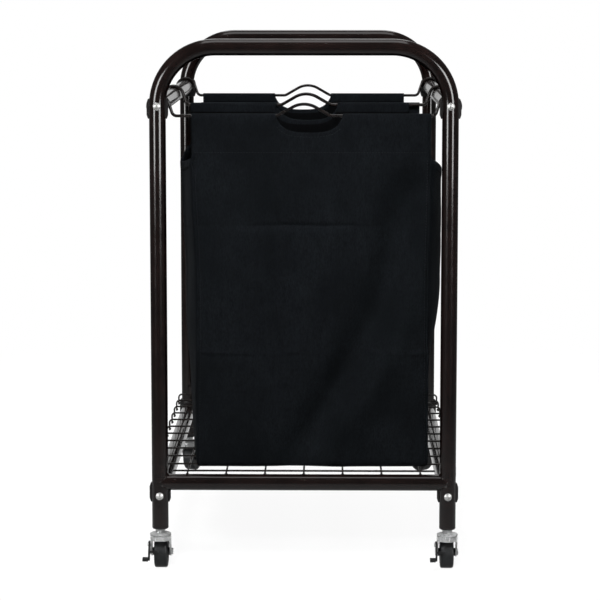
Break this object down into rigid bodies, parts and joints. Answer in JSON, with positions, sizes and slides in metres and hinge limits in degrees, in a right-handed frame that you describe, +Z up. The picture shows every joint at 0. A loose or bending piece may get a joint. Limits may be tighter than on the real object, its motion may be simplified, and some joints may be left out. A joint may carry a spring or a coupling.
{
  "type": "laundry cart",
  "caption": "Rolling tubular laundry cart with lift-off fabric bags hung side by side on the side rails, a wire deck and swivel casters with side brakes.",
  "frame": {"origin": "on the floor, midway between the four caster stems", "axes": "+Z up, +Y from the front end frame to the rear one, +X to the right seen from the front"},
  "size_m": [0.4905, 0.7721, 0.822],
  "materials": {
    "frame_paint": "glossy dark bronze powder coat",
    "black_plastic": "satin moulded",
    "zinc": "zinc plated",
    "screw_zinc": "bright zinc plated",
    "wire_coat": "dark bronze coated wire",
    "rod_coat": "dark bronze coated wire",
    "caster_chrome": "bright zinc",
    "wheel_plastic": "moulded",
    "wheel_rubber": "dull",
    "lever_black": "black enamel",
    "pad_grey": "moulded",
    "bag_cloth": "tightly woven polyester"
  },
  "bodies": {
    "frame": {"front_u_tube": "frame_paint", "rear_u_tube": "frame_paint", "front_cross_bar": "frame_paint", "rear_cross_bar": "frame_paint", "left_top_rail": "frame_paint", "right_top_rail": "frame_paint", "left_bottom_rail": "frame_paint", "right_bottom_rail": "frame_paint", "saddle_collars": "black_plastic", "rail_nut_inserts": "zinc", "frame_bolts": "screw_zinc", "post_end_plugs": "black_plastic", "deck_long_wires": "wire_coat", "deck_cross_wires": "wire_coat", "deck_border_wires": "wire_coat", "caster_stems": "caster_chrome", "caster_stem_nuts": "caster_chrome", "caster_bearing_balls": "caster_chrome"},
    "front_left_swivel": {"front_left_fork": "caster_chrome", "front_left_axle": "caster_chrome"},
    "front_left_wheel": {"front_left_hub": "wheel_plastic", "front_left_tyre": "wheel_rubber"},
    "front_left_brake": {"front_left_brake_lever": "lever_black", "front_left_brake_pad": "pad_grey"},
    "front_right_swivel": {"front_right_fork": "caster_chrome", "front_right_axle": "caster_chrome"},
    "front_right_wheel": {"front_right_hub": "wheel_plastic", "front_right_tyre": "wheel_rubber"},
    "front_right_brake": {"front_right_brake_lever": "lever_black", "front_right_brake_pad": "pad_grey"},
    "rear_left_swivel": {"rear_left_fork": "caster_chrome", "rear_left_axle": "caster_chrome"},
    "rear_left_wheel": {"rear_left_hub": "wheel_plastic", "rear_left_tyre": "wheel_rubber"},
    "rear_right_swivel": {"rear_right_fork": "caster_chrome", "rear_right_axle": "caster_chrome"},
    "rear_right_wheel": {"rear_right_hub": "wheel_plastic", "rear_right_tyre": "wheel_rubber"},
    "front_bag": {"front_bag_outer_rod": "rod_coat", "front_bag_inner_rod": "rod_coat", "front_bag_outer_panel": "bag_cloth", "front_bag_inner_panel": "bag_cloth", "front_bag_left_panel": "bag_cloth", "front_bag_right_panel": "bag_cloth", "front_bag_bottom_panel": "bag_cloth"},
    "rear_bag": {"rear_bag_outer_rod": "rod_coat", "rear_bag_inner_rod": "rod_coat", "rear_bag_outer_panel": "bag_cloth", "rear_bag_inner_panel": "bag_cloth", "rear_bag_left_panel": "bag_cloth", "rear_bag_right_panel": "bag_cloth", "rear_bag_bottom_panel": "bag_cloth"}
  },
  "joints": [
    {"name": "front_left_swivel_turn", "type": "hinge", "parent": "frame", "child": "front_left_swivel", "pos_m": [-0.2223, -0.355, 0.056], "axis": [0, 0, 1], "continuous": true},
    {"name": "front_left_wheel_spin", "type": "hinge", "parent": "front_left_swivel", "child": "front_left_wheel", "pos_m": [-0.2223, -0.337, 0.025], "axis": [1, 0, 0], "continuous": true},
    {"name": "front_left_brake_press", "type": "hinge", "parent": "front_left_swivel", "child": "front_left_brake", "pos_m": [-0.2223, -0.355, 0.041], "axis": [1, 0, 0], "range_deg": [0, 14]},
    {"name": "front_right_swivel_turn", "type": "hinge", "parent": "frame", "child": "front_right_swivel", "pos_m": [0.2223, -0.355, 0.056], "axis": [0, 0, 1], "continuous": true},
    {"name": "front_right_wheel_spin", "type": "hinge", "parent": "front_right_swivel", "child": "front_right_wheel", "pos_m": [0.2223, -0.337, 0.025], "axis": [1, 0, 0], "continuous": true},
    {"name": "front_right_brake_press", "type": "hinge", "parent": "front_right_swivel", "child": "front_right_brake", "pos_m": [0.2223, -0.355, 0.041], "axis": [1, 0, 0], "range_deg": [0, 14]},
    {"name": "rear_left_swivel_turn", "type": "hinge", "parent": "frame", "child": "rear_left_swivel", "pos_m": [-0.2223, 0.355, 0.056], "axis": [0, 0, 1], "continuous": true},
    {"name": "rear_left_wheel_spin", "type": "hinge", "parent": "rear_left_swivel", "child": "rear_left_wheel", "pos_m": [-0.21629, 0.37197, 0.025], "axis": [0.9426, -0.3338, 0], "continuous": true},
    {"name": "rear_right_swivel_turn", "type": "hinge", "parent": "frame", "child": "rear_right_swivel", "pos_m": [0.2223, 0.355, 0.056], "axis": [0, 0, 1], "continuous": true},
    {"name": "rear_right_wheel_spin", "type": "hinge", "parent": "rear_right_swivel", "child": "rear_right_wheel", "pos_m": [0.21198, 0.36974, 0.025], "axis": [0.8192, 0.5736, 0], "continuous": true},
    {"name": "front_bag_lift", "type": "slide", "parent": "frame", "child": "front_bag", "axis": [0, 0, 1], "range_m": [0, 0.68]},
    {"name": "rear_bag_lift", "type": "slide", "parent": "frame", "child": "rear_bag", "axis": [0, 0, 1], "range_m": [0, 0.68]}
  ]
}
